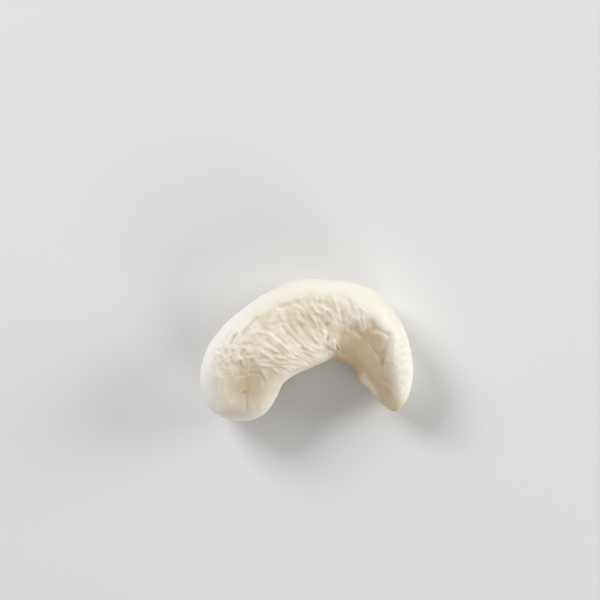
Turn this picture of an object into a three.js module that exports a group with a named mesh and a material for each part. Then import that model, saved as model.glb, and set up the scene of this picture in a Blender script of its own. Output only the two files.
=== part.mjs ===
// A shelled cashew kernel, ivory and peeled of its skin, lying on one flank.
// Millimetres, +Z up. +X runs from the broad end to the pointed tip, and +Y from the bay to the back.
// The origin is on the surface that it lies on, under the middle of its outline.
import * as THREE from 'three';
import { LoftGeometry } from 'three/addons/geometries/LoftGeometry.js';

// Stations from the broad end to the tip. Back and bay are the outer and inner edges seen from above,
// seam is the height of the line where the two seed halves meet, and rise and drop are how far
// the upper and under flanks stand off it. Shoulder is where, across the section from -1 at the bay
// to 1 at the back, the smooth back steps down to the sunk flank.
const BROAD_POLE = { x: -8.9, y: -9.05, seam: 5.0 };
const STATIONS = [
  { back: [-12.0, -7.5], bay: [-5.6, -8.4], seam: 5.1, rise: 3.7, drop: 3.4, shoulder: 0.7 },
  { back: [-13.3, -4.5], bay: [-3.7, -5.9], seam: 5.3, rise: 4.95, drop: 4.85, shoulder: 0.7 },
  { back: [-13.1, -1.4], bay: [-2.8, -4.1], seam: 5.4, rise: 5.2, drop: 5.35, shoulder: 0.7 },
  { back: [-11.7, 1.7], bay: [-1.2, -3.0], seam: 5.4, rise: 5.3, drop: 5.25, shoulder: 0.71 },
  { back: [-9.0, 4.6], bay: [0.6, -2.2], seam: 5.3, rise: 5.2, drop: 5.05, shoulder: 0.7 },
  { back: [-5.2, 7.2], bay: [2.2, -1.5], seam: 5.2, rise: 5.1, drop: 5.0, shoulder: 0.68 },
  { back: [-0.6, 8.8], bay: [3.4, -1.05], seam: 5.1, rise: 5.0, drop: 4.95, shoulder: 0.58 },
  { back: [4.5, 8.8], bay: [4.5, -1.6], seam: 5.0, rise: 4.8, drop: 4.7, shoulder: 0.48 },
  { back: [9.0, 7.3], bay: [5.6, -2.2], seam: 4.8, rise: 4.6, drop: 4.5, shoulder: 0.4 },
  { back: [12.0, 3.85], bay: [6.4, -3.1], seam: 4.6, rise: 4.3, drop: 4.3, shoulder: 0.38 },
  { back: [13.35, 0.0], bay: [6.9, -4.1], seam: 4.4, rise: 4.0, drop: 4.1, shoulder: 0.28 },
  { back: [13.5, -3.3], bay: [8.0, -5.0], seam: 4.3, rise: 3.4, drop: 4.0, shoulder: 0.16 },
  { back: [13.1, -5.5], bay: [9.0, -6.2], seam: 4.1, rise: 2.6, drop: 3.0, shoulder: 0.2 },
  { back: [12.35, -6.95], bay: [10.15, -7.2], seam: 4.0, rise: 1.7, drop: 1.9, shoulder: 0.3 },
];
const TIP_POLE = { x: 11.3, y: -7.85, seam: 3.9 };

// How square a section is towards each edge: 2 is an ellipse, and more turns its corners more tightly.
// The ends are round, and this share of the length takes them there.
const SQUARENESS = { back: 2.3, bay: 4.2, end: 2.1 };
const END_SHARE = 0.2;
// The share by which a section is thicker towards the back than in its middle.
const BACK_FULLNESS = 0.2;

// Relief, in millimetres. A groove follows the seam, deepest in the bay. Each flank is sunk between its
// shoulder and a lip over the bay, and deepest in a trough. The step at the shoulder is crisp on the first
// half of the arch and soft elsewhere.
const SEAM = { depth: 0.2, width: 0.4 };
const SUNK = { depth: 0.34, lip: -0.78 };
const SHOULDER_STEP = { from: 0.38, to: 0.49, crisp: 0.17, soft: 0.5 };
const LIP = { height: 0.15, at: -0.86, width: 0.11 };
const TROUGH = { depth: 0.14, at: -0.1, width: 0.4 };
// Broad unevenness, from soft lumps of two sizes.
const LUMPS = [{ height: 0.16, size: 5.5 }, { height: 0.07, size: 2.3 }];
// Dimples of the flanks: the dent in the arm and the hollow of the broad end above, and two below.
const DIMPLES = [
  { x: 10.2, y: 1.3, side: 1, radius: 1.3, depth: 0.3 },
  { x: -6.6, y: -3.0, side: 1, radius: 2.0, depth: 0.22 },
  { x: -4.6, y: 1.4, side: -1, radius: 1.9, depth: 0.25 },
  { x: 7.6, y: 2.0, side: -1, radius: 1.6, depth: 0.25 },
];
// Folds of the upper flank and the under flank: height, half width, and the points that each runs through.
const UPPER_FOLDS = [
  { height: 0.13, width: 0.35, through: [[-7.4, 1.1], [-7.0, 2.1], [-6.1, 2.5], [-4.5, 2.1], [-3.3, 1.1]] },
  { height: -0.18, width: 0.35, through: [[-3.4, 5.5], [-1.1, 6.2]] },
  { height: -0.28, width: 0.35, through: [[2.75, 3.0], [2.8, 1.2]] },
  { height: 0.3, width: 0.35, through: [[3.45, 1.0], [3.4, 0.3]] },
  { height: 0.11, width: 0.45, through: [[0.7, -0.1], [1.7, 0.1]] },
  { height: 0.14, width: 0.35, through: [[4.9, 2.0], [5.1, 2.8], [5.9, 4.6]] },
  { height: -0.14, width: 0.35, through: [[5.4, 2.9], [6.8, 1.6]] },
  { height: -0.26, width: 0.38, through: [[8.2, 3.4], [8.6, 2.6]] },
  { height: -0.34, width: 0.4, through: [[10.5, 1.8], [10.3, 0.6], [10.0, -0.8], [9.6, -2.0]] },
  { height: -0.17, width: 0.5, through: [[9.8, 0.6], [9.5, -0.5]] },
  { height: 0.15, width: 0.35, through: [[11.1, 1.6], [11.0, 0.1], [10.8, -1.3]] },
  { height: -0.13, width: 0.35, through: [[9.4, -0.4], [10.0, -2.3], [10.5, -4.0]] },
  { height: 0.16, width: 0.9, through: [[6.6, -0.8], [8.2, -3.0]] },
  { height: 0.14, width: 0.45, through: [[6.9, -3.5], [8.4, -5.0], [9.6, -6.2]] },
];
const UNDER_FOLDS = [
  { height: 0.14, width: 0.35, through: [[-8.2, 1.6], [-6.4, 2.6], [-4.5, 2.6], [-2.6, 1.0]] },
  { height: -0.16, width: 0.4, through: [[-2.4, 4.0], [-1.2, 1.6]] },
  { height: -0.18, width: 0.4, through: [[1.2, 4.6], [1.8, 1.4]] },
  { height: 0.15, width: 0.35, through: [[2.6, 5.0], [2.8, 1.6]] },
  { height: -0.16, width: 0.4, through: [[4.4, 5.0], [4.2, 1.8]] },
  { height: -0.2, width: 0.5, through: [[8.6, 2.6], [7.0, 0.2]] },
  { height: 0.15, width: 0.7, through: [[9.6, 0.6], [8.4, -2.4]] },
];
// The three low spots of the under flank that the kernel lies on.
const RESTS = [{ x: -9.2, y: -3.0 }, { x: 0.2, y: 6.2 }, { x: 10.4, y: -2.2 }];
const REST_BULGE = { radius: 2.6, height: 0.4 };
// Crumples drawn out from the bay towards the back, over the arch: short ones and longer crests.
const CRUMPLE = { height: 0.12, short: 0.6, long: 1.1, lean: 0.35 };
// Low streaks along the back of the broad end.
const STREAK = { height: 0.06, pitch: 0.7, reach: 3.2 };

// The length along the middle of the bend, and the mean half width of a section.
const BEND_LENGTH = 36;
const HALF_WIDTH = 5;

// The mesh: rings along the kernel and points round each ring, drawn together towards the seam.
const RINGS = 122;
const ROUND = 46;
const END_CAP = 0.004;
const SEAM_CROWDING = 0.4;

const { lerp, smoothstep } = THREE.MathUtils;

// A bell of height 1 and the given width at x.
const bell = (x, at, width) => Math.exp(-(((x - at) / width) ** 2));

// 1 between from and to, falling to 0 over the given fade on either side.
const band = (x, from, to, fade) => smoothstep(x, from - fade, from) * (1 - smoothstep(x, to, to + fade));

// A repeatable scatter: a number from 0 to 1 for each cell of a grid.
function scatter(i, j, k) {
  const s = Math.sin(i * 127.1 + j * 311.7 + k * 74.7) * 43758.5453;
  return s - Math.floor(s);
}

// Smooth noise from -1 to 1: the scatter of the eight cell corners round a point, eased together.
function noise(x, y, z) {
  const [i, j, k] = [x, y, z].map(Math.floor);
  const [a, b, c] = [x - i, y - j, z - k].map((t) => t * t * (3 - 2 * t));
  const edge = (dj, dk) => lerp(scatter(i, j + dj, k + dk), scatter(i + 1, j + dj, k + dk), a);
  return 2 * lerp(lerp(edge(0, 0), edge(1, 0), b), lerp(edge(0, 1), edge(1, 1), b), c) - 1;
}

// The distance from a place to a line through several points.
function distanceTo(through, x, y) {
  const place = new THREE.Vector3(x, y, 0);
  const points = through.map(([px, py]) => new THREE.Vector3(px, py, 0));
  const distances = points.slice(1).map((end, i) => {
    const nearest = new THREE.Line3(points[i], end).closestPointToPoint(place, true, new THREE.Vector3());
    return place.distanceTo(nearest);
  });
  return Math.min(...distances);
}

// The outline seen from above is one closed curve: out along the back and home along the bay.
const edgePoint = ([x, y], seam) => new THREE.Vector3(x, y, seam);
const outline = new THREE.CatmullRomCurve3(
  [
    new THREE.Vector3(BROAD_POLE.x, BROAD_POLE.y, BROAD_POLE.seam),
    ...STATIONS.map((s) => edgePoint(s.back, s.seam)),
    new THREE.Vector3(TIP_POLE.x, TIP_POLE.y, TIP_POLE.seam),
    ...STATIONS.map((s) => edgePoint(s.bay, s.seam)).reverse(),
  ],
  true,
  'catmullrom',
);
// The flanks' distances from the seam and the place of their shoulder, as a closed curve of the same kind,
// so that both ends come out round.
const flanks = new THREE.CatmullRomCurve3(
  [
    new THREE.Vector3(0, 0, STATIONS[0].shoulder),
    ...STATIONS.map((s) => new THREE.Vector3(s.rise, s.drop, s.shoulder)),
    new THREE.Vector3(0, 0, STATIONS.at(-1).shoulder),
    ...STATIONS.map((s) => new THREE.Vector3(-s.rise, -s.drop, s.shoulder)).reverse(),
  ],
  true,
  'catmullrom',
);

// Where a section's rounded square stands at an angle: across, from bay to back, and up.
function sectionPoint(u, angle) {
  const c = Math.cos(angle);
  const s = Math.sin(angle);
  const middle = smoothstep(Math.min(u, 1 - u), 0, END_SHARE);
  const n = lerp(SQUARENESS.end, c > 0 ? SQUARENESS.back : SQUARENESS.bay, middle);
  const reach = (Math.abs(c) ** n + Math.abs(s) ** n) ** (-1 / n);
  return { across: c * reach, up: s * reach };
}

// A point of the smooth body. u runs from the broad end, 0, to the tip, 1. angle turns round the section
// from the back, 0, over the upper flank to the bay, half a turn, and home under the under flank.
function bodyPoint(u, angle) {
  const back = outline.getPoint(u / 2);
  const bay = outline.getPoint(1 - u / 2);
  const flank = flanks.getPoint(u / 2);
  const { across, up } = sectionPoint(u, angle);
  const thickness = (up > 0 ? flank.x : flank.y) * (1 + BACK_FULLNESS * across);
  const p = bay.lerp(back, (1 + across) / 2);
  p.z += thickness * up;
  return p;
}

// The body's outward direction, from two short steps along it and round it.
function bodyNormal(u, angle) {
  const STEP = 1e-3;
  const along = bodyPoint(Math.min(u + STEP, 1), angle).sub(bodyPoint(Math.max(u - STEP, 0), angle));
  const round = bodyPoint(u, angle + STEP).sub(bodyPoint(u, angle - STEP));
  return round.cross(along).normalize();
}

// Crumples across the arch and streaks along the back of the broad end, on both flanks.
function creases(u, across, side, shoulder) {
  const along = u * BEND_LENGTH;
  const wide = across * HALF_WIDTH;
  const warp = noise(along / 2.2, wide / 2, side * 7);
  const lean = CRUMPLE.lean * wide * noise(along / 5 + 20, wide / 6, side * 13);
  const short = noise((along + lean) / CRUMPLE.short + 0.7 * warp, wide + warp, side * 11);
  const long = noise((along - 0.6 * lean) / CRUMPLE.long, wide / 1.7 + warp, side * 17);
  const crumple = 0.5 * short + (1 - Math.abs(long)) ** 3 - 0.35;
  const streak = noise(along / STREAK.reach, wide / STREAK.pitch + warp, side * 29);
  return (
    CRUMPLE.height * crumple * band(u, 0.3, 0.56, 0.1) * band(across, -0.7, shoulder, 0.16) +
    STREAK.height * streak * band(u, 0.17, 0.36, 0.07) * band(across, 0.36, 0.7, 0.14)
  );
}

// How far the surface stands off the smooth body at p.
function relief(u, angle, p) {
  const { across, up } = sectionPoint(u, angle);
  const side = Math.sign(up);
  const offSeam = Math.abs(up) * HALF_WIDTH;
  const flank = smoothstep(offSeam, 0.6, 2.4);
  const ends = band(u, 0.2, 0.8, 0.14);
  const { z: shoulder } = flanks.getPoint(u / 2);
  const crisp = band(u, SHOULDER_STEP.from, SHOULDER_STEP.to, 0.08);
  const foot = shoulder - lerp(SHOULDER_STEP.soft, SHOULDER_STEP.crisp, crisp);
  const head = shoulder + 0.1 * (1 - crisp);
  const sunk = (1 - smoothstep(across, foot, head)) * smoothstep(across, -1, SUNK.lip);
  const trough = bell(across, TROUGH.at, TROUGH.width);
  const face = creases(u, across, side, shoulder) - (SUNK.depth * sunk + TROUGH.depth * trough) * ends;
  const lip = LIP.height * bell(across, LIP.at, LIP.width) * band(u, 0.12, 0.42, 0.08);
  const groove = bell(offSeam, 0, SEAM.width) * band(u, 0.08, 0.86, 0.08);
  let height = (face + lip) * flank - SEAM.depth * (0.7 - 0.3 * across) * groove;
  for (const lump of LUMPS) {
    height += lump.height * noise(p.x / lump.size + 9, p.y / lump.size, p.z / lump.size);
  }
  for (const dimple of DIMPLES.filter((d) => d.side === side)) {
    height -= dimple.depth * flank * bell(Math.hypot(p.x - dimple.x, p.y - dimple.y), 0, dimple.radius);
  }
  for (const fold of side > 0 ? UPPER_FOLDS : UNDER_FOLDS) {
    height += fold.height * flank * bell(distanceTo(fold.through, p.x, p.y), 0, fold.width);
  }
  if (side < 0) {
    for (const rest of RESTS) {
      const away = Math.hypot(p.x - rest.x, p.y - rest.y);
      height += REST_BULGE.height * flank * bell(away, 0, REST_BULGE.radius);
    }
  }
  return height;
}

function kernelGeometry() {
  const sections = [];
  for (let i = 0; i < RINGS; i++) {
    const u = lerp(END_CAP, 1 - END_CAP, i / (RINGS - 1));
    const section = [];
    for (let j = 0; j < ROUND; j++) {
      const turn = (j / ROUND) * 2 * Math.PI;
      const angle = turn - (SEAM_CROWDING / 2) * Math.sin(2 * turn);
      const p = bodyPoint(u, angle);
      p.addScaledVector(bodyNormal(u, angle), relief(u, angle, p));
      p.z = Math.max(p.z, 0);
      section.push(p);
    }
    sections.push(section);
  }
  return new LoftGeometry(sections, { capStart: true, capEnd: true });
}

const kernel = new THREE.Mesh(
  kernelGeometry(),
  new THREE.MeshStandardMaterial({ color: 0xeadfc2, roughness: 0.55, metalness: 0 }),
);
kernel.name = 'kernel';

const part = new THREE.Group();
part.add(kernel);
export default part;
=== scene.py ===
import bpy
import numpy as np
from bpy.props import FloatProperty, FloatVectorProperty, PointerProperty
from bpy.types import Operator, Panel, PropertyGroup
from mathutils import Matrix, Vector


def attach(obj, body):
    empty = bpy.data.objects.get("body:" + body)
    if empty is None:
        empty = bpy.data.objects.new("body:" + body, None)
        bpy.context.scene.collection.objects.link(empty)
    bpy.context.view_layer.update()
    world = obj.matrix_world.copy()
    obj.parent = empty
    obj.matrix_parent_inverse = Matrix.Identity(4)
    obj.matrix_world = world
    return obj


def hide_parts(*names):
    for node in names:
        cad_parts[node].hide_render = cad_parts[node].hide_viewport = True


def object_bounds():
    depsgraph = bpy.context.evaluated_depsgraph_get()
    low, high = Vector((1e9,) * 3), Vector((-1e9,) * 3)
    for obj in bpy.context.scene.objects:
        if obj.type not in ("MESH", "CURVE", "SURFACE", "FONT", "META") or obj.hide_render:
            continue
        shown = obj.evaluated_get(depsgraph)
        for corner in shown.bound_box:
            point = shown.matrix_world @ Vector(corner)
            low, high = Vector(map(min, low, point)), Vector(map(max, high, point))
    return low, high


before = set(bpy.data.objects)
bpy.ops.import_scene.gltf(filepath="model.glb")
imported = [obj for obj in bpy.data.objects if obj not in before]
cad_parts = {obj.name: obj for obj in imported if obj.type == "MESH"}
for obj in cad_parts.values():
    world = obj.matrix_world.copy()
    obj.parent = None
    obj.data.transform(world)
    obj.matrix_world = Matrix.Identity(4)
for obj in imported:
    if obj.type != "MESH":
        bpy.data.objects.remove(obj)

# A shelled cashew kernel, ivory and peeled of its skin, lying on one flank on a pale floor.
# Shapes are worked out in millimetres, in the row's frame, and go into the meshes in metres.

bl_info = {
    "name": "Cashew Kernel",
    "version": (1, 0, 0),
    "blender": (4, 5, 0),
    "location": "3D View > Sidebar > Cashew",
    "description": "A shelled cashew kernel with its wrinkles and seam, and a pale studio for it",
    "category": "Add Mesh",
}

MM = 0.001
CAD_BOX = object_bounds()

# Stations from the broad end to the tip, each: back x and y, bay x and y, height of the seam,
# rise of the upper flank, drop of the under flank, and the shoulder's place across the section.
BROAD_POLE = (-8.9, -9.05, 5.0)
STATIONS = np.array([
    (-12.0, -7.5, -5.6, -8.4, 5.1, 3.7, 3.4, 0.7),
    (-13.3, -4.5, -3.7, -5.9, 5.3, 4.95, 4.85, 0.7),
    (-13.1, -1.4, -2.8, -4.1, 5.4, 5.2, 5.35, 0.7),
    (-11.7, 1.7, -1.2, -3.0, 5.4, 5.3, 5.25, 0.71),
    (-9.0, 4.6, 0.6, -2.2, 5.3, 5.2, 5.05, 0.7),
    (-5.2, 7.2, 2.2, -1.5, 5.2, 5.1, 5.0, 0.68),
    (-0.6, 8.8, 3.4, -1.05, 5.1, 5.0, 4.95, 0.58),
    (4.5, 8.8, 4.5, -1.6, 5.0, 4.8, 4.7, 0.48),
    (9.0, 7.3, 5.6, -2.2, 4.8, 4.6, 4.5, 0.4),
    (12.0, 3.85, 6.4, -3.1, 4.6, 4.3, 4.3, 0.38),
    (13.35, 0.0, 6.9, -4.1, 4.4, 4.0, 4.1, 0.28),
    (13.5, -3.3, 8.0, -5.0, 4.3, 3.4, 4.0, 0.16),
    (13.1, -5.5, 9.0, -6.2, 4.1, 2.6, 3.0, 0.2),
    (12.35, -6.95, 10.15, -7.2, 4.0, 1.7, 1.9, 0.3),
])
TIP_POLE = (11.3, -7.85, 3.9)

# How square a section is towards the back, the bay and the ends, over what share of the length it turns
# from the one to the other, and how much thicker it is towards the back.
SQUARE_BACK = 2.3
SQUARE_BAY = 4.2
SQUARE_END = 2.1
END_SHARE = 0.2
BACK_FULLNESS = 0.2

# The turns and the size of the sine that every noise is scattered with. Others would move each wrinkle.
SCATTER_TURNS = (127.1, 311.7, 74.7)
SCATTER_SIZE = 43758.5453

# The length of the bend and half the width of a section, for what follows the surface.
BEND_LENGTH = 36.0
HALF_WIDTH = 5.0

# Places along the kernel run from 0 at the broad end to 1 at the tip, and places across a section from -1
# at the bay to 1 at the back. A name with ALONG or ACROSS is a stretch: its two ends, and the width over
# which it fades out beyond them.

# How far off the seam the relief of the flanks starts, and where it is full.
FLANK_RISE = (0.6, 2.4)

# The main relief, as in the solid: height or depth, place across the section, and width.
SEAM_WIDTH = 0.4
SEAM_ALONG = (0.08, 0.86, 0.08)
# The share of the seam's depth in the middle of a section, and what it loses from there to the back.
SEAM_SHARE = 0.7
SEAM_LOSS = 0.3
SUNK_DEPTH = 0.34
SUNK_LIP = -0.78
SUNK_ALONG = (0.2, 0.8, 0.14)
# The step from the shoulder down to the sunk face: how far it slopes where it is crisp and where it is
# soft, and how far the soft one begins behind the shoulder.
CRISP_RAMP = 0.17
SOFT_RAMP = 0.5
SOFT_START = 0.1
CRISP_ALONG = (0.38, 0.49, 0.08)
LIP_HEIGHT = 0.15
LIP_AT = -0.86
LIP_WIDTH = 0.11
LIP_ALONG = (0.12, 0.42, 0.08)
TROUGH_DEPTH = 0.14
TROUGH_AT = -0.1
TROUGH_WIDTH = 0.4
# Lumps: height, size, and place in the noise.
LUMPS = ((0.16, 5.5, (9, 0, 0)), (0.07, 2.3, (9, 0, 0)))
# Dimples: x, y, side, radius and depth.
DIMPLES = (
    (10.2, 1.3, 1, 1.3, 0.3),
    (-6.6, -3.0, 1, 2.0, 0.22),
    (-4.6, 1.4, -1, 1.9, 0.25),
    (7.6, 2.0, -1, 1.6, 0.25),
)
# The low spots that the kernel lies on: x and y, and the bulge that makes each.
RESTS = ((-9.2, -3.0), (0.2, 6.2), (10.4, -2.2))
REST_RADIUS = 2.6
REST_HEIGHT = 0.4
# The height over which the tops of the crests are eased down, to stay within the solid's box.
TOP_EASE = 0.03

# The fine relief. A fold narrower than this carries painted highlight where it rises and painted shade
# where it sinks, and the narrow and the broad folds are made this much stronger than the heights in their
# lists.
NARROW = 0.3
NARROW_GAIN = 1.45
BROAD_GAIN = 1.3

# Folds of the upper flank: height before the gain, half width, and the points that each runs through.
UPPER_FOLDS = (
    # The fan of crests over the broad end.
    (0.10, 0.22, (-7.44, 1.13), (-7.05, 2.1), (-6.07, 2.49), (-4.51, 2.15), (-3.34, 1.13), (-2.07, -0.14)),
    (0.09, 0.18, (-5.29, 0.93), (-3.73, -0.04)),
    (0.10, 0.18, (-5.58, -0.04), (-4.02, -1.21)),
    (0.08, 0.20, (-5.78, -1.8), (-4.31, -2.09), (-3.53, -2.78)),
    (0.08, 0.18, (-5.39, -2.48), (-4.9, -3.56)),
    (-0.09, 0.17, (-4.9, 1.32), (-3.43, 0.15)),
    (-0.08, 0.16, (-5.09, 0.15), (-3.82, -0.58)),
    (-0.09, 0.20, (-5.78, -1.21), (-4.9, -0.82)),
    (-0.07, 0.16, (-3.73, 1.91), (-2.46, 0.74)),
    (-0.08, 0.16, (-3.34, 0.35), (-2.95, -0.63)),
    # Crests and valleys of the arch.
    (-0.10, 0.20, (-2.95, 2.88), (-2.07, 1.81)),
    (0.08, 0.18, (-2.46, 3.28), (-1.48, 1.91)),
    (0.08, 0.18, (-1.29, 1.91), (-0.21, 0.44)),
    (-0.08, 0.20, (-0.8, 1.42), (-0.12, -0.34)),
    (-0.11, 0.20, (-0.8, 3.37), (0.08, 1.91)),
    (-0.10, 0.20, (-0.99, 5.13), (-0.21, 3.96)),
    (-0.10, 0.20, (-0.12, 4.93), (0.66, 3.76)),
    (0.09, 0.18, (0.66, 2.01), (1.45, 1.13)),
    (-0.08, 0.26, (0.86, 1.13), (1.45, 0.64)),
    (0.09, 0.18, (0.76, 6.01), (1.45, 4.74)),
    (0.09, 0.17, (2.13, 5.91), (2.28, 4.54)),
    (0.08, 0.16, (2.81, 5.62), (2.91, 4.74)),
    (0.12, 0.20, (3.3, 6.69), (3.98, 4.93)),
    (-0.30, 0.34, (2.6, 3.1), (2.9, 2.2), (2.75, 1.2)),
    (0.25, 0.29, (3.45, 1.0), (3.4, 0.3)),
    (0.08, 0.45, (0.66, -0.14), (1.74, 0.15)),
    # Notches and shadows under the shoulder.
    (-0.19, 0.30, (-3.43, 5.52), (-1.09, 6.2)),
    (-0.12, 0.16, (0.18, 6.4), (0.18, 5.81)),
    (-0.12, 0.16, (1.54, 6.69), (1.54, 6.01)),
    (-0.12, 0.16, (2.42, 6.69), (2.28, 5.91)),
    (-0.10, 0.35, (4.47, 6.5), (5.35, 6.2)),
    # Ridges and dents of the arm.
    (0.08, 0.18, (3.9, 5.1), (4.25, 3.65)),
    (-0.08, 0.18, (4.5, 4.9), (4.75, 3.15)),
    (0.07, 0.18, (5.25, 4.9), (4.9, 3.65)),
    (-0.07, 0.20, (5.35, 6.35), (5.85, 5.15)),
    (0.07, 0.26, (4.86, 2.01), (5.15, 2.79), (5.94, 4.2)),
    (0.10, 0.28, (6.4, 3.9), (7.0, 2.5)),
    (0.07, 0.20, (7.1, 4.15), (7.35, 2.65)),
    (-0.10, 0.28, (5.35, 2.88), (6.81, 1.62)),
    (-0.20, 0.34, (8.2, 3.45), (8.6, 2.6)),
    (-0.10, 0.24, (8.5, 2.7), (10.3, 2.0)),
    (-0.19, 0.42, (10.5, 1.8), (10.35, 0.6), (10.0, -0.8), (9.65, -2.0)),
    (-0.08, 0.50, (9.85, 0.6), (9.5, -0.5)),
    (0.15, 0.32, (11.05, 1.6), (10.95, 0.15), (10.7, -1.3)),
    (0.08, 0.18, (10.15, -1.15), (10.2, -1.4)),
    (-0.10, 0.32, (9.45, -0.43), (10.03, -2.29), (10.52, -3.95)),
    (0.12, 0.90, (6.62, -0.82), (8.18, -2.97)),
    (-0.06, 0.22, (7.9, 0.8), (9.0, -1.1), (9.2, -2.1)),
    (0.11, 0.45, (6.9, -3.5), (8.4, -5.0), (9.6, -6.2)),
    (-0.06, 0.28, (9.74, -4.14), (10.91, -5.02)),
    # Shallow dents of the broad end's hollow.
    (-0.07, 0.22, (-6.8, -1.3), (-7.0, -2.6)),
    (-0.06, 0.18, (-8.8, -3.2), (-7.5, -3.2)),
    (-0.05, 0.16, (-7.0, -2.95), (-5.55, -3.05)),
    (-0.06, 0.22, (-5.2, -3.5), (-5.1, -4.6)),
    (-0.04, 0.16, (-10.6, -4.0), (-10.65, -6.6)),
    (-0.04, 0.16, (-11.5, -1.7), (-11.3, -4.1)),
    # Streaks along the back of the broad end.
    (-0.16, 0.22, (-6.29, 4.13), (-6.91, 3.39), (-7.53, 2.65), (-8.03, 2.15), (-8.9, 1.03)),
    (-0.09, 0.17, (-6.54, 2.89), (-7.29, 2.52), (-7.78, 1.9)),
    (0.12, 0.17, (-6.42, 3.27), (-6.95, 2.45)),
    (0.15, 0.18, (-8.28, 2.03), (-8.77, 1.28), (-9.64, -0.08)),
    (-0.13, 0.18, (-8.65, 2.1), (-9.3, 1.1)),
    # Dents and bumps of the crumpled patch beside them.
    (-0.13, 0.34, (-9.27, -0.08), (-9.3, -0.83)),
    (-0.12, 0.32, (-7.91, 0.05), (-8.03, -0.7)),
    (-0.13, 0.36, (-8.6, -1.75), (-8.16, -1.95)),
    (0.12, 0.24, (-8.85, -1.0), (-8.7, -1.2)),
    (0.12, 0.24, (-9.6, -1.65), (-9.75, -1.75)),
    (0.08, 0.18, (-8.3, 1.3), (-8.2, 1.1)),
)
# Folds of the under flank.
UNDER_FOLDS = (
    (0.10, 0.24, (-8.2, 1.6), (-6.4, 2.6), (-4.5, 2.6), (-2.6, 1.0)),
    (-0.10, 0.22, (-6.0, 1.2), (-4.0, -0.4)),
    (0.10, 0.22, (-5.2, -0.4), (-3.6, -1.6)),
    (-0.12, 0.26, (-2.4, 4.0), (-1.2, 1.6)),
    (0.10, 0.24, (-1.6, 4.6), (-0.2, 1.4)),
    (-0.14, 0.30, (1.2, 4.6), (1.8, 1.4)),
    (0.12, 0.28, (2.6, 5.0), (2.8, 1.6)),
    (-0.12, 0.30, (4.4, 5.0), (4.2, 1.8)),
    (0.10, 0.30, (6.2, 4.2), (5.2, 1.0)),
    (-0.16, 0.40, (8.6, 2.6), (7.0, 0.2)),
    (0.12, 0.60, (9.6, 0.6), (8.4, -2.4)),
    (-0.10, 0.30, (-3.4, 5.6), (-0.8, 6.4)),
)
# The thin crease of the broad end and the small pit beside it.
CREASE = ((-7.2, -3.6), (-7.25, -5.3), (-7.3, -7.4))
CREASE_WIDTH = 0.09
CREASE_DEPTH = 0.06
PIT = (-7.6, -5.25)
PIT_RADIUS = 0.2
PIT_DEPTH = 0.09

# The crease is not quite straight: how far it wanders to either side, and over what length.
CREASE_WANDER = 0.06
CREASE_BEND = 0.8

# Crumples: where they lie, how far that stretch slants over the bend, and where it starts and fades
# across the section. They end at the shoulder, and a little past it at the overrun.
CREST_ALONG = (0.34, 0.54, 0.09)
CREST_SLANT = 0.08
CREST_START = -0.8
CREST_FADE = 0.15
CREST_OVERRUN = 0.08
OVERRUN_AT = 0.49
OVERRUN_WIDTH = 0.06
# How far crumples lean at most, as a share of their distance from the middle, and the shares of the short
# ones and the finest ones beside the ridges. The sum is let down by the sink.
CREST_LEAN = 0.35
SHORT_SHARE = 0.8
FINEST_SHARE = 0.5
CREST_SINK = 0.25
RIDGE_SHARPNESS = 3
# The height of the ridges, and that of all crumples, varies from place to place: its mean and spread.
RIDGE_MEAN = 0.55
RIDGE_SPREAD = 0.5
PATCH_MEAN = 0.75
PATCH_SPREAD = 0.5

# Streaks of the broad end's back and of the arm's rim: where they lie, and their shares.
STREAK_ALONG = (0.17, 0.36, 0.07)
STREAK_ACROSS = (0.36, 0.7, 0.14)
UPPER_STREAKS = 0.3
UNDER_STREAKS = 1.1
RIM_ALONG = (0.7, 0.84, 0.05)
RIM_ACROSS = (0.46, 0.76, 0.16)
RIM_STREAKS = 0.9

# Blobs and grain: share, size, and place in the noise.
BLOBS = ((1.0, 0.45, (0, 0, 0)), (0.4, 0.25, (5, 0, 0)), (0.9, 0.9, (0, 0, 0)))
GRAIN = ((0.35, 1.1, (0, 0, 3)), (0.18, 0.38, (7, 0, 0)))
GRAIN_ON_BACK = 0.35
# Where the blobs lie: x, y, side, radius and share.
BLOB_PATCHES = ((-8.9, -0.5, 1, 2.5, 2.5), (-8.4, 1.2, -1, 2.4, 1.0))

# Where the colours lie. The flank's colour fades out behind the shoulder, in less width where the step
# is crisp, and its edge is moved towards the back or the bay: by how much, at what place and width.
FACE_ALONG = (0.12, 0.84, 0.12)
FACE_FADE = 0.22
FACE_CRISP = (0.12, 0.47, 0.05)
FACE_MOVES = ((0.11, 0.49, 0.06), (-0.13, 0.72, 0.06))
# Colours wander by a share of the section, over a size along the kernel and up it.
COLOR_WANDER = 0.03
WANDER_ALONG = 1.3
WANDER_UP = 1.1
# The bay's tan, partly its own and mostly painted shade warmed as by bounced light: round the middle of
# its wall, and how far it comes over the edge there.
BAY_MIDDLE = 0.6
BAY_ALONG = (0.3, 0.75, 0.22)
BAY_WIDTH = 0.13
BAY_LEAST = 0.3
WALL_START = 0.97
WALL_END = 1.05
WALL_REACH = 0.3
WALL_WIDTH = 0.15
# The lip is kept out of the painted shade of the flanks: along the broad end, and less so along the arm.
UNSHADED_LIP_AT = -0.88
UNSHADED_LIP_WIDTH = 0.12
UNSHADED_LIP_ALONG = (0.14, 0.4, 0.14)
ARM_LIP_ALONG = (0.76, 0.84, 0.1)
ARM_LIP_SHARE = 0.6
# Ovals of warm painted shade on the flanks, over the broad end's hollow and the middle of the arch: x, y,
# half length and half width. The hollow's keeps off the bay's edge.
HOLLOW_SHADE = (-6.9, -4.1, 3.1, 3.7)
HOLLOW_SHADE_EDGE = (-1, -0.6)
ARCH_SHADE = (0.7, 3.6, 2.6, 2.4)
ARCH_SHADE_SHARE = 0.2
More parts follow.
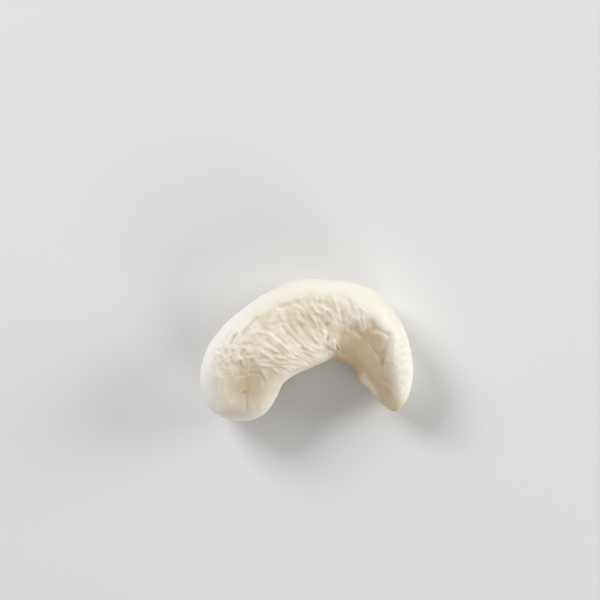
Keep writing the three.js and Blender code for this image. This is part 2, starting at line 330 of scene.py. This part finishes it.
# Where the arm's warm painted shade starts and the tip turns tan, how far either edge slants over the
# bend, and where the painted light on the broad end's back and the traces of skin in the seam fade.
ARM_SHADE_START = (0.5, 0.63)
ARM_SHADE_SLANT = 0.12
TIP_START = (0.84, 0.99)
TIP_SLANT = 0.01
TIP_WANDER = 0.5
LIT_BACK_END = (0.2, 0.5)
TRACE_EDGE = (0.3, 0.9)
# The share that the crease has of the pit's painted shade.
CREASE_SHARE = 0.5

# The mesh: rings along the kernel and points round each ring, drawn together a little towards the seam
# and more over the upper flank, where the finest wrinkles are seen.
RINGS = 400
ROUND = 246
SEAM_CROWDING = 0.05
TOP_CROWDING = 0.25

# The flesh's finish, and the wrinkles and grain too fine for the mesh: size, height and strength.
ROUGHNESS = (0.42, 0.6)
SPECULAR = 0.45
SCATTER_COLOR = (1.0, 0.75, 0.5)
WRINKLE_BUMP = (0.42 * MM, 0.035 * MM, 0.7)
GRAIN_BUMP = (0.14 * MM, 0.008 * MM, 0.6)
# How much of each colour shows where it is strongest.
WARM_SHADE_SHARE = 0.95
BAY_SHADE_SHARE = 0.85
TIP_SHARE = 0.9
CREASE_SHADE_SHARE = 0.8
# Painted highlight on the crests and painted shade in the valleys: from and to what rise in millimetres,
# and the colour's share.
CREST_HIGHLIGHT = (0.01, 0.12, 0.4)
VALLEY_SHADE = (-0.01, -0.14, 0.5)


def smoothstep(x, low, high):
    """0 below low and 1 above high, eased between them."""
    t = np.clip((x - low) / (high - low), 0, 1)
    return t * t * (3 - 2 * t)


def bell(x, at, width):
    """A bell of height 1 and the given width at x: e to the minus square of the distance in widths."""
    return np.exp(-(((x - at) / width) ** 2))


def band(x, low, high, fade):
    """1 between low and high, falling to 0 over the given fade on either side."""
    return smoothstep(x, low - fade, low) * (1 - smoothstep(x, high, high + fade))


def scatter(i, j, k):
    """A repeatable number from 0 to 1 for each corner of a grid: the fraction left of a large sine."""
    s = np.sin(i * SCATTER_TURNS[0] + j * SCATTER_TURNS[1] + k * SCATTER_TURNS[2]) * SCATTER_SIZE
    return s - np.floor(s)


def noise(x, y, z):
    """Smooth noise from -1 to 1: the scatter of the eight cell corners round a point, eased together."""
    x, y, z = np.broadcast_arrays(x, y, z)
    i, j, k = np.floor(x), np.floor(y), np.floor(z)
    a, b, c = (t * t * (3 - 2 * t) for t in (x - i, y - j, z - k))

    def edge(dj, dk):
        """The scatter along one edge of the cell, eased from its low corner to its high one."""
        low = scatter(i, j + dj, k + dk)
        return low + a * (scatter(i + 1, j + dj, k + dk) - low)

    near = edge(0, 0) + b * (edge(1, 0) - edge(0, 0))
    far = edge(0, 1) + b * (edge(1, 1) - edge(0, 1))
    return 2 * (near + c * (far - near)) - 1


def closed_curve(points, share):
    """A closed smooth curve through points, at a share of the way round: cubics whose slope at each
    point is half the step between its two neighbours."""
    n = len(points)
    at = np.asarray(share) * n
    i = np.floor(at).astype(int)
    w = (at - i)[..., None]
    p0, p1, p2, p3 = (points[(i + k) % n] for k in (-1, 0, 1, 2))
    m1, m2 = (p2 - p0) / 2, (p3 - p1) / 2
    return p1 + w * m1 + w**2 * (3 * (p2 - p1) - 2 * m1 - m2) + w**3 * (2 * (p1 - p2) + m1 + m2)


def both_ways(start, out, end, home):
    """The points of a closed curve: from the broad end out to the tip, and home again."""
    return np.vstack([start, out, end, home[::-1]])


OUTLINE = both_ways(BROAD_POLE, STATIONS[:, [0, 1, 4]], TIP_POLE, STATIONS[:, [2, 3, 4]])
FLANKS = both_ways(
    (0, 0, STATIONS[0, 7]),
    STATIONS[:, 5:8],
    (0, 0, STATIONS[-1, 7]),
    STATIONS[:, 5:8] * (-1, -1, 1),
)


def section(u, angle):
    """Where a section's rounded square stands at an angle: across, from -1 at the bay to 1 at the back,
    and up. It is the curve on which the powers of the two add up to 1, nearly an ellipse at the ends."""
    c, s = np.cos(angle), np.sin(angle)
    middle = smoothstep(np.minimum(u, 1 - u), 0, END_SHARE)
    n = SQUARE_END + middle * (np.where(c > 0, SQUARE_BACK, SQUARE_BAY) - SQUARE_END)
    reach = (np.abs(c) ** n + np.abs(s) ** n) ** (-1 / n)
    return c * reach, s * reach


def body(u, angle):
    """The smooth body: u runs along the bend from the broad end to the tip, and angle turns round the
    section from the back over the upper flank. The section stands on the chord from bay to back, and
    is a little thicker towards the back."""
    back, bay = closed_curve(OUTLINE, u / 2), closed_curve(OUTLINE, 1 - u / 2)
    flank = closed_curve(FLANKS, u / 2)
    across, up = section(u, angle)
    p = bay + (back - bay) * ((1 + across) / 2)[..., None]
    thickness = np.where(up > 0, flank[..., 0], flank[..., 1]) * (1 + BACK_FULLNESS * across)
    p[..., 2] += thickness * up
    return p


def outward(u, angle):
    """The body's outward direction: the cross product of a short step round it and one along it."""
    step = 1e-3
    along = body(np.minimum(u + step, 1), angle) - body(np.maximum(u - step, 0), angle)
    around = body(u, angle + step) - body(u, angle - step)
    n = np.cross(around, along)
    return n / np.linalg.norm(n, axis=-1, keepdims=True)


def to_line(x, y, points):
    """The distance from each place to a line through several points: the least over its stretches."""
    best = np.full(x.shape, np.inf)
    for (ax, ay), (bx, by) in zip(points, points[1:]):
        dx, dy = bx - ax, by - ay
        t = np.clip(((x - ax) * dx + (y - ay) * dy) / (dx * dx + dy * dy), 0, 1)
        best = np.minimum(best, np.hypot(x - ax - t * dx, y - ay - t * dy))
    return best


class Relief:
    """What stands off the smooth body, in millimetres, worked out for the whole grid at once."""

    def __init__(self, u, angle, settings):
        self.u = u
        self.settings = settings
        self.p = body(u, angle)
        self.x, self.y, self.z = (self.p[..., k] for k in range(3))
        self.across, up = section(u, angle)
        self.side = np.where(up >= 0, 1, -1)
        self.off_seam = np.abs(up) * HALF_WIDTH
        self.flank = smoothstep(self.off_seam, *FLANK_RISE)
        self.along = u * BEND_LENGTH
        self.wide = self.across * HALF_WIDTH
        self.shoulder = closed_curve(FLANKS, u / 2)[..., 2]

    def wrinkles(self, along, across, layer, lean=0.0, warp=0.0, sway=0.0):
        """Noise that follows the surface, of a size along the kernel and one across it, each use from
        a layer of its own. It leans by a distance, and is warped along and swayed across in sizes."""
        return noise((self.along + lean) / along + warp, self.wide / across + sway, self.side * layer)

    def speckle(self, layers):
        """A sum of noises in space: each has a height, a size, and a place where it is taken from."""
        total = 0.0
        for height, size, (i, j, k) in layers:
            total = total + height * noise(self.x / size + i, self.y / size + j, self.z / size + k)
        return total

    def oval(self, x, y, length, width):
        """A bell over an oval round a place, seen from above: of the distance in half lengths."""
        return bell(np.hypot((self.x - x) / length, (self.y - y) / width), 0, 1)

    def spots(self, spots):
        """Round bells on the flanks: each has its x, y, side, radius and height."""
        total = 0.0
        for x, y, side, radius, height in spots:
            total = total + height * self.oval(x, y, radius, radius) * (self.side == side)
        return total

    def step(self):
        """Where the step at the shoulder starts and ends across a section. It is narrow where it is crisp
        and wide where it is soft, and a noise moves both edges to and fro."""
        jag = self.settings.shoulder_jag * self.wrinkles(along=0.7, across=3.0, layer=3)
        crisp = band(self.u, *CRISP_ALONG)
        low = self.shoulder + jag - (CRISP_RAMP * crisp + SOFT_RAMP * (1 - crisp))
        return low, self.shoulder + jag + SOFT_START * (1 - crisp)

    def groove(self):
        """The groove of the seam: a bell over the height off it."""
        return bell(self.off_seam, 0, SEAM_WIDTH) * band(self.u, *SEAM_ALONG)

    def main(self):
        """The relief of the solid: groove of the seam, sunk face between shoulder and lip, trough,
        lip, lumps, dimples and the bulges that the kernel lies on."""
        u, across = self.u, self.across
        sunk = (1 - smoothstep(across, *self.step())) * smoothstep(across, -1, SUNK_LIP)
        dip = SUNK_DEPTH * sunk + TROUGH_DEPTH * bell(across, TROUGH_AT, TROUGH_WIDTH)
        lip = LIP_HEIGHT * bell(across, LIP_AT, LIP_WIDTH) * band(u, *LIP_ALONG)
        bulges = self.spots((x, y, -1, REST_RADIUS, REST_HEIGHT) for x, y in RESTS)
        on_flank = lip - dip * band(u, *SUNK_ALONG) - self.spots(DIMPLES) + bulges
        seam = self.settings.seam_depth / MM * self.groove() * (SEAM_SHARE - SEAM_LOSS * across)
        return on_flank * self.flank - seam + self.speckle(LUMPS)

    def folds(self):
        """The folds placed one by one: a bell over the distance to each one's line. The narrow ones are
        kept apart from the broad ones, because only they carry painted highlight and shade."""
        narrow, broad = np.zeros(self.x.shape), np.zeros(self.x.shape)
        for side, folds in ((1, UPPER_FOLDS), (-1, UNDER_FOLDS)):
            for height, width, *points in folds:
                fold = height * bell(to_line(self.x, self.y, points), 0, width) * (self.side == side)
                if width < NARROW:
                    narrow += NARROW_GAIN * fold
                else:
                    broad += BROAD_GAIN * fold
        return narrow * self.flank, broad * self.flank

    def crests(self):
        """Crumples across the bend: two noises drawn out along each section, leaning one way and the
        other and warped, and a sharp ridge of changing height wherever a third one passes zero."""
        pitch = self.settings.crest_pitch / MM
        warp = self.wrinkles(along=2.2, across=2.0, layer=7)
        lean = CREST_LEAN * self.wide * self.wrinkles(along=5.0, across=6.0, layer=13, warp=20)
        short = self.wrinkles(along=pitch, across=0.8, layer=11, lean=lean, warp=0.7 * warp, sway=warp)
        finest = self.wrinkles(along=0.55 * pitch, across=0.5, layer=37, lean=0.5 * lean)
        long = self.wrinkles(along=1.6 * pitch, across=1.2, layer=17, lean=-0.6 * lean, sway=warp)
        ridge = (1 - np.abs(long)) ** RIDGE_SHARPNESS
        broken = RIDGE_MEAN + RIDGE_SPREAD * self.wrinkles(along=1.1, across=0.7, layer=41)
        crumple = SHORT_SHARE * short + FINEST_SHARE * finest + broken * ridge - CREST_SINK
        end = self.shoulder + CREST_OVERRUN * bell(self.u, OVERRUN_AT, OVERRUN_WIDTH)
        reach = band(self.u - CREST_SLANT * self.across, *CREST_ALONG)
        reach = reach * band(self.across, CREST_START, end, CREST_FADE)
        patchy = PATCH_MEAN + PATCH_SPREAD * self.wrinkles(along=1.5, across=1.3, layer=19)
        return self.settings.crest_height / MM * crumple * reach * patchy * self.flank

    def streaks(self):
        """Long low ridges along the back of the broad end, weaker on the upper flank, and short ones
        across the rim of the arm: noise much longer one way than the other."""
        warp = self.wrinkles(along=3.0, across=2.0, layer=23)
        long = self.wrinkles(along=3.2, across=0.27, layer=29, sway=2.0 * warp)
        long = long * np.where(self.side > 0, UPPER_STREAKS, UNDER_STREAKS)
        on_back = band(self.u, *STREAK_ALONG) * band(self.across, *STREAK_ACROSS)
        rim = self.wrinkles(along=0.26, across=1.6, layer=31, warp=0.8 * warp + 0.5 * self.wide)
        on_rim = band(self.u, *RIM_ALONG) * band(self.across, *RIM_ACROSS)
        height = self.settings.streak_height / MM
        return height * (long * on_back + RIM_STREAKS * rim * on_rim) * self.flank

    def grain(self):
        """Blobs of three sizes over the patch beside the fan of crests, and a grain of two sizes all
        over, weaker on the back."""
        blobs = self.speckle(BLOBS) * self.spots(BLOB_PATCHES)
        weaker = GRAIN_ON_BACK + (1 - GRAIN_ON_BACK) * self.flank
        return self.settings.grain_height / MM * (blobs + self.speckle(GRAIN)) * weaker

    def crease(self):
        """The thin crease of the broad end: a bell over the distance to its wandering line."""
        wander = CREASE_WANDER * noise(0, self.y / CREASE_BEND, 0)
        line = bell(to_line(self.x + wander, self.y, CREASE), 0, CREASE_WIDTH)
        return line * (self.side > 0) * self.flank

    def pit(self):
        """The small round pit beside the crease."""
        return self.oval(*PIT, PIT_RADIUS, PIT_RADIUS) * (self.side > 0) * self.flank


def colour_zones(relief):
    """Where the material's colours lie, each from 0 to 1: steps, bands, bells and ovals along and across
    the kernel, whose edges wander a little."""
    u, across = relief.u, relief.across
    wander = COLOR_WANDER * noise(relief.along / WANDER_ALONG, relief.z / WANDER_UP, 0)

    low, high = relief.step()
    move = sum(reach * bell(u, at, width) for reach, at, width in FACE_MOVES)
    narrowing, *narrow_at = FACE_CRISP
    fade = FACE_FADE - narrowing * bell(u, *narrow_at)
    face = (1 - smoothstep(across, low + move, high + fade + move)) * relief.flank

    wall_start = WALL_START - WALL_REACH * bell(u, BAY_MIDDLE, WALL_WIDTH)
    wall = smoothstep(-across + wander, wall_start, WALL_END)
    bay = wall * (BAY_LEAST + (1 - BAY_LEAST) * bell(u, BAY_MIDDLE, BAY_WIDTH)) * band(u, *BAY_ALONG)

    edge = band(u, *UNSHADED_LIP_ALONG) + ARM_LIP_SHARE * band(u, *ARM_LIP_ALONG)
    lip = bell(across, UNSHADED_LIP_AT, UNSHADED_LIP_WIDTH) * edge * relief.flank

    # Warm painted shade: ovals over the broad end's hollow and the middle of the arch, and the arm's sunk
    # face, with the lip kept out of it.
    hollow = relief.oval(*HOLLOW_SHADE) * smoothstep(across, *HOLLOW_SHADE_EDGE)
    arch = ARCH_SHADE_SHARE * relief.oval(*ARCH_SHADE)
    arm = smoothstep(u - ARM_SHADE_SLANT * across, *ARM_SHADE_START) * (1 - smoothstep(u, *TIP_START)) * face
    return {
        "face": face * band(u, *FACE_ALONG),
        # Warm painted shade of the flanks.
        "warm_shade": np.maximum(np.maximum(hollow, arch) * relief.flank, arm) * (1 - lip),
        # Tan painted shade in the bay, a little of it the bay's own tan.
        "bay": bay,
        # Painted light on the back of the broad end.
        "pale": 1 - smoothstep(u, *LIT_BACK_END),
        "tip": smoothstep(u + TIP_SLANT * across + TIP_WANDER * wander, *TIP_START),
        "seam": relief.groove() * smoothstep(-across, *TRACE_EDGE),
        # Painted shade in the crease and the pit.
        "marks": np.maximum(CREASE_SHARE * relief.crease(), relief.pit()),
    }


def grid_mesh(name, rings):
    """A closed mesh from rings of points: squares between the rings, and a fan of triangles from each
    end ring to a pole at its middle, wound so that the faces point outwards."""
    n, m = rings.shape[:2]
    points = np.vstack([rings[0].mean(0), rings.reshape(-1, 3), rings[-1].mean(0)])
    at = 1 + np.arange(n * m).reshape(n, m)
    on = np.roll(at, -1, axis=1)
    squares = np.stack([at[:-1], on[:-1], on[1:], at[1:]], -1).reshape(-1, 4)
    start = np.stack([np.zeros(m, int), on[0], at[0]], -1)
    end = np.stack([np.full(m, n * m + 1), at[-1], on[-1]], -1)
    mesh = bpy.data.meshes.new(name)
    mesh.from_pydata(points.tolist(), [], start.tolist() + squares.tolist() + end.tolist())
    mesh.polygons.foreach_set("use_smooth", np.ones(len(mesh.polygons), bool))
    mesh.update()
    return mesh


def add_attribute(mesh, name, values):
    """A number for each vertex of a grid mesh, for the material to read. A pole has its ring's mean."""
    with_poles = np.concatenate([[values[0].mean()], values.ravel(), [values[-1].mean()]])
    layer = mesh.attributes.new(name, "FLOAT", "POINT")
    layer.data.foreach_set("value", with_poles.astype(np.float32))


def make_kernel(settings):
    """The kernel's surface: the body plus its relief along the outward direction, on a grid of u and
    angle. Its top is eased down under the solid's, and what would sink below the surface that it lies
    on is cut off flat."""
    u = np.linspace(0, 1, RINGS + 2)[1:-1, None]
    turn = np.linspace(0, 2 * np.pi, ROUND, endpoint=False)[None, :]
    u, turn = np.broadcast_arrays(u, turn)
    angle = turn - SEAM_CROWDING * np.sin(2 * turn) + TOP_CROWDING * np.cos(turn)
    relief = Relief(u, angle, settings)
    narrow, broad = relief.folds()
    fine = narrow + relief.crests() + relief.streaks() + relief.grain()
    marks = CREASE_DEPTH * relief.crease() + PIT_DEPTH * relief.pit()
    height = relief.main() + broad + fine - marks
    rings = relief.p + outward(u, angle) * height[..., None]
    top = CAD_BOX[1][2] / MM
    rings[..., 2] = top - TOP_EASE * np.logaddexp(0, (top - rings[..., 2]) / TOP_EASE)
    rings[..., 2] = np.maximum(rings[..., 2], 0)
    mesh = grid_mesh("kernel_surface", rings * MM)
    # The fine relief's height, from which the material paints highlight on the crests and shade in the
    # valleys.
    add_attribute(mesh, "rise", fine)
    for name, values in colour_zones(relief).items():
        add_attribute(mesh, name, values)
    return mesh


class Nodes:
    """A short way to build a material's nodes: each call adds one node and returns its output."""

    def __init__(self, material):
        material.use_nodes = True
        self.tree = material.node_tree
        self.shader = self.tree.nodes["Principled BSDF"]

    def plug(self, socket, value):
        """A link from another node's output, or else the socket's own number or colour."""
        if isinstance(value, bpy.types.NodeSocket):
            self.tree.links.new(value, socket)
        elif socket.type == "RGBA":
            socket.default_value = (*value, 1)
        else:
            socket.default_value = value

    def add(self, kind, output, inputs, **fields):
        """Any node by its kind, with its inputs and its fields."""
        node = self.tree.nodes.new(kind)
        for field, value in fields.items():
            setattr(node, field, value)
        for key, value in inputs.items():
            self.plug(node.inputs[key], value)
        return node.outputs[output]

    def attribute(self, name):
        """The mesh's own number at a place."""
        return self.add("ShaderNodeAttribute", "Fac", {}, attribute_name=name)

    def noise(self, size, detail=2.0, roughness=0.5):
        """Noise of a size in metres, in Object coordinates."""
        place = self.add("ShaderNodeTexCoord", "Object", {})
        inputs = {"Vector": place, "Scale": 1 / size, "Detail": detail, "Roughness": roughness}
        return self.add("ShaderNodeTexNoise", "Fac", inputs)

    def spread(self, value, low, high, least=0.0, most=1.0):
        """A value eased from least, where it is low, to most, where it is high."""
        inputs = {"Value": value, "From Min": low, "From Max": high, "To Min": least, "To Max": most}
        return self.add("ShaderNodeMapRange", "Result", inputs, interpolation_type="SMOOTHSTEP")

    def times(self, a, b):
        """The product of two values."""
        return self.add("ShaderNodeMath", "Value", {0: a, 1: b}, operation="MULTIPLY")

    def mix(self, share, under, over):
        """One colour laid over another by a share."""
        node = self.tree.nodes.new("ShaderNodeMix")
        node.data_type = "RGBA"
        self.plug(node.inputs["Factor"], share)
        for socket, value in zip((s for s in node.inputs if s.type == "RGBA"), (under, over)):
            self.plug(socket, value)
        return next(s for s in node.outputs if s.type == "RGBA")

    def bump(self, height, distance, strength, under=None):
        """A small relief that only the light sees, over another one where it is given."""
        inputs = {"Height": height, "Distance": distance, "Strength": strength}
        if under is not None:
            inputs["Normal"] = under
        return self.add("ShaderNodeBump", "Normal", inputs)


def flesh_material(settings):
    """Peeled seed flesh: cream on the smooth back, whiter where painted light falls on the broad end's
    back, warmer on the sunk flanks, with warm painted shade over the arm, the broad end's hollow and the
    arch's middle, painted highlight on the crests and painted shade between them, tan painted shade in the
    bay, painted shade in the crease and the pit, tan at the tip, with a waxy sheen and a little depth."""
    s = settings
    material = bpy.data.materials.new("kernel_flesh")
    n = Nodes(material)
    patches = n.spread(n.noise(2.4 * MM, detail=3), 0.35, 0.7)
    flank = n.mix(patches, s.flank_color, s.mottle_and_valley_shade_color)
    specks = n.spread(n.noise(0.5 * MM), 0.55, 0.8, most=0.5)
    flank = n.mix(specks, flank, s.mottle_and_valley_shade_color)
    patches = n.spread(n.noise(3.5 * MM), 0.4, 0.75, most=0.5)
    back = n.mix(patches, s.back_and_crest_highlight_color, s.flank_color)
    # Painted light: the back of the broad end is whiter, as the light from the upper left falls on it.
    back = n.mix(n.attribute("pale"), back, s.lit_back_color)
    colour = n.mix(n.attribute("face"), back, flank)
    # Warm painted shade over the arm's face, the broad end's hollow and the middle of the arch.
    colour = n.mix(n.times(n.attribute("warm_shade"), WARM_SHADE_SHARE), colour, s.warm_shade_color)
    # Painted highlight on the crests and painted shade in the valleys, from the fine relief's height.
    rise = n.attribute("rise")
    low, high, share = CREST_HIGHLIGHT
    colour = n.mix(n.spread(rise, low, high, most=share), colour, s.back_and_crest_highlight_color)
    low, high, share = VALLEY_SHADE
    colour = n.mix(n.spread(rise, low, high, most=share), colour, s.mottle_and_valley_shade_color)
    # Tan painted shade on the bay's wall, a little of it the bay's own tan.
    colour = n.mix(n.times(n.attribute("bay"), BAY_SHADE_SHARE), colour, s.bay_shade_color)
    colour = n.mix(n.times(n.attribute("tip"), TIP_SHARE), colour, s.tip_color)
    traces = n.spread(n.noise(1.6 * MM, detail=4, roughness=0.6), 0.5, 0.7, most=0.4)
    colour = n.mix(n.times(n.attribute("seam"), traces), colour, s.seam_color)
    # Painted shade in the crease and the pit of the broad end.
    colour = n.mix(n.times(n.attribute("marks"), CREASE_SHADE_SHARE), colour, s.crease_shade_color)
    n.plug(n.shader.inputs["Base Color"], colour)
    n.plug(n.shader.inputs["Roughness"], n.spread(n.noise(0.9 * MM, detail=3), 0.3, 0.7, *ROUGHNESS))
    n.plug(n.shader.inputs["Subsurface Weight"], s.subsurface)
    n.plug(n.shader.inputs["Subsurface Radius"], SCATTER_COLOR)
    n.plug(n.shader.inputs["Subsurface Scale"], s.subsurface_scale)
    n.plug(n.shader.inputs["Specular IOR Level"], SPECULAR)
    size, height, strength = WRINKLE_BUMP
    wrinkles = n.bump(n.noise(size, detail=3, roughness=0.55), height, strength)
    size, height, strength = GRAIN_BUMP
    n.plug(n.shader.inputs["Normal"], n.bump(n.noise(size), height, strength, wrinkles))
    return material


class KernelSettings(PropertyGroup):
    shoulder_jag: FloatProperty(
        name="Shoulder jag",
        description="How far the shoulder's edge wanders, as a share of the half width",
        default=0.03, min=0, max=0.2,
    )
    seam_depth: FloatProperty(
        name="Seam depth", description="Depth of the groove between the seed halves",
        default=0.2 * MM, min=0, max=MM, precision=5, subtype="DISTANCE", unit="LENGTH",
    )
    crest_height: FloatProperty(
        name="Crest height", description="Height of the thin crests across the flanks",
        default=0.14 * MM, min=0, max=MM, precision=5, subtype="DISTANCE", unit="LENGTH",
    )
    crest_pitch: FloatProperty(
        name="Crest pitch", description="Mean distance between crests",
        default=0.4 * MM, min=0.2 * MM, max=5 * MM, precision=5, subtype="DISTANCE", unit="LENGTH",
    )
    streak_height: FloatProperty(
        name="Streak height", description="Height of the long streaks of the back",
        default=0.09 * MM, min=0, max=MM, precision=5, subtype="DISTANCE", unit="LENGTH",
    )
    grain_height: FloatProperty(
        name="Grain height", description="Height of the fine grain",
        default=0.09 * MM, min=0, max=MM, precision=5, subtype="DISTANCE", unit="LENGTH",
    )
    # Also the painted highlight on the crests.
    back_and_crest_highlight_color: FloatVectorProperty(
        name="Back", description="Colour of the smooth back and of the crests",
        default=(0.91, 0.875, 0.77), size=3, min=0, max=1, subtype="COLOR",
    )
    # Painted light: the back of the broad end, whiter where the light from the upper left falls.
    lit_back_color: FloatVectorProperty(
        name="Pale back", description="Colour of the back of the broad end",
        default=(0.95, 0.925, 0.895), size=3, min=0, max=1, subtype="COLOR",
    )
    flank_color: FloatVectorProperty(
        name="Flank", description="Colour of the sunk flanks",
        default=(0.93, 0.86, 0.72), size=3, min=0, max=1, subtype="COLOR",
    )
    # Painted shade, warm in tone, on the flank at the arm, in the broad end's hollow and in the middle of
    # the arch.
    warm_shade_color: FloatVectorProperty(
        name="Warm flank", description="Colour of the flank at the arm and in the broad end's hollow",
        default=(0.55, 0.42, 0.27), size=3, min=0, max=1, subtype="COLOR",
    )
    # The flank's mottle, and also the painted shade in the valleys between the crests.
    mottle_and_valley_shade_color: FloatVectorProperty(
        name="Valley", description="Colour between the crests",
        default=(0.80, 0.70, 0.54), size=3, min=0, max=1, subtype="COLOR",
    )
    # Mostly painted shade on the bay's wall, warm as with bounced light, partly its own tan.
    bay_shade_color: FloatVectorProperty(
        name="Bay", description="Colour of the wall of the bay",
        default=(0.54, 0.34, 0.16), size=3, min=0, max=1, subtype="COLOR",
    )
    tip_color: FloatVectorProperty(
        name="Tip", description="Colour of the pointed tip",
        default=(0.68, 0.46, 0.19), size=3, min=0, max=1, subtype="COLOR",
    )
    seam_color: FloatVectorProperty(
        name="Seam", description="Colour of the traces of skin in the seam",
        default=(0.42, 0.20, 0.12), size=3, min=0, max=1, subtype="COLOR",
    )
    # Painted shade in the crease and the pit of the broad end.
    crease_shade_color: FloatVectorProperty(
        name="Marks", description="Colour of the crease and the pit of the broad end",
        default=(0.36, 0.28, 0.18), size=3, min=0, max=1, subtype="COLOR",
    )
    subsurface: FloatProperty(
        name="Translucency", description="Share of the light that enters the flesh",
        default=0.3, min=0, max=1, subtype="FACTOR",
    )
    subsurface_scale: FloatProperty(
        name="Translucency depth", description="How far light travels in the flesh",
        default=0.15 * MM, min=0, max=5 * MM, precision=5, subtype="DISTANCE", unit="LENGTH",
    )


class StageSettings(PropertyGroup):
    floor_color: FloatVectorProperty(
        name="Floor", description="Colour of the pale floor",
        default=(0.78, 0.78, 0.775), size=3, min=0, max=1, subtype="COLOR",
    )
    key_power: FloatProperty(
        name="Key light", description="Power of the large soft light over the back",
        default=1.15, min=0, max=100, unit="POWER",
    )
    side_power: FloatProperty(
        name="Side light", description="Power of the soft light beside the tip",
        default=0.9, min=0, max=100, unit="POWER",
    )
    front_power: FloatProperty(
        name="Front light", description="Power of the soft light before the bay",
        default=0.5, min=0, max=100, unit="POWER",
    )
    surroundings: FloatProperty(
        name="Surroundings", description="Brightness of the white surroundings",
        default=0.24, min=0, max=5,
    )


class CASHEW_OT_kernel(Operator):
    """Make the kernel's wrinkled surface and its flesh, in place of the plain solid"""

    bl_idname = "cashew.kernel"
    bl_label = "Kernel"

    def execute(self, context):
        settings = context.scene.cashew_kernel
        kernel = bpy.data.objects.new("kernel_surface", make_kernel(settings))
        context.scene.collection.objects.link(kernel)
        kernel.data.materials.append(flesh_material(settings))
        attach(kernel, "root")
        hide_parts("kernel")
        return {"FINISHED"}


# The studio: the floor's half width, the lights' places and sizes, and the camera, in metres.
FLOOR_REACH = 3.0
FLOOR_ROUGHNESS = 0.8
KEY_AT = Vector((-0.25, 0.235, 0.26))
KEY_SIZE = 0.18
SIDE_AT = Vector((0.36, 0.11, 0.14))
SIDE_SIZE = 0.2
FRONT_AT = Vector((0.2, -0.3, 0.2))
FRONT_SIZE = 0.2
# The camera looks straight down on the flank, as the photograph looks at it.
LENS = 100.0
NEAREST_SEEN = 0.01
CAMERA_HEIGHT = 0.217
CAMERA_OVER = (-0.00077, 0.00634)


def make_floor(settings):
    """A level square far larger than the view."""
    reach = FLOOR_REACH
    corners = [(-reach, -reach, 0), (reach, -reach, 0), (reach, reach, 0), (-reach, reach, 0)]
    mesh = bpy.data.meshes.new("floor")
    mesh.from_pydata(corners, [], [(0, 1, 2, 3)])
    floor = bpy.data.objects.new("floor", mesh)
    material = bpy.data.materials.new("floor")
    n = Nodes(material)
    n.plug(n.shader.inputs["Base Color"], settings.floor_color)
    n.plug(n.shader.inputs["Roughness"], FLOOR_ROUGHNESS)
    mesh.materials.append(material)
    bpy.context.scene.collection.objects.link(floor)


def add_light(name, at, size, power):
    """A square soft light that faces the kernel."""
    light = bpy.data.lights.new(name, "AREA")
    light.size = size
    light.energy = power
    lamp = bpy.data.objects.new(name, light)
    lamp.location = at
    lamp.rotation_euler = (-at).to_track_quat("-Z", "Y").to_euler()
    bpy.context.scene.collection.objects.link(lamp)


def make_surroundings(settings):
    """Even white light from all round."""
    world = bpy.data.worlds.new("surroundings")
    world.use_nodes = True
    background = world.node_tree.nodes["Background"]
    background.inputs["Color"].default_value = (1, 1, 1, 1)
    background.inputs["Strength"].default_value = settings.surroundings
    return world


def add_camera():
    """A long lens straight over the kernel, with the photograph's framing."""
    data = bpy.data.cameras.new("camera")
    data.lens = LENS
    data.clip_start = NEAREST_SEEN
    camera = bpy.data.objects.new("camera", data)
    camera.matrix_world = Matrix.Translation((*CAMERA_OVER, CAMERA_HEIGHT))
    bpy.context.scene.collection.objects.link(camera)
    bpy.context.scene.camera = camera


class CASHEW_OT_stage(Operator):
    """Make the pale floor, the soft lights and the camera"""

    bl_idname = "cashew.stage"
    bl_label = "Stage"

    def execute(self, context):
        scene = context.scene
        settings = scene.cashew_stage
        make_floor(settings)
        add_light("key", KEY_AT, KEY_SIZE, settings.key_power)
        add_light("side", SIDE_AT, SIDE_SIZE, settings.side_power)
        add_light("front", FRONT_AT, FRONT_SIZE, settings.front_power)
        scene.world = make_surroundings(settings)
        scene.view_settings.view_transform = "Standard"
        add_camera()
        return {"FINISHED"}


class CASHEW_PT_panel(Panel):
    """The kernel and its stage"""

    bl_label = "Cashew kernel"
    bl_idname = "CASHEW_PT_panel"
    bl_space_type = "VIEW_3D"
    bl_region_type = "UI"
    bl_category = "Cashew"

    def draw(self, context):
        for settings, operator in (
            (context.scene.cashew_kernel, CASHEW_OT_kernel),
            (context.scene.cashew_stage, CASHEW_OT_stage),
        ):
            box = self.layout.box()
            box.operator(operator.bl_idname)
            for name in settings.__annotations__:
                box.prop(settings, name)


CLASSES = (KernelSettings, StageSettings, CASHEW_OT_kernel, CASHEW_OT_stage, CASHEW_PT_panel)


def register():
    """The classes, and the settings that a scene holds."""
    for cls in CLASSES:
        bpy.utils.register_class(cls)
    bpy.types.Scene.cashew_kernel = PointerProperty(type=KernelSettings)
    bpy.types.Scene.cashew_stage = PointerProperty(type=StageSettings)


def unregister():
    """What register added, taken away in the reverse order."""
    del bpy.types.Scene.cashew_stage
    del bpy.types.Scene.cashew_kernel
    for cls in reversed(CLASSES):
        bpy.utils.unregister_class(cls)


def main():
    """The kernel and its stage."""
    register()
    bpy.ops.cashew.kernel()
    bpy.ops.cashew.stage()


if __name__ == "__main__":
    main()
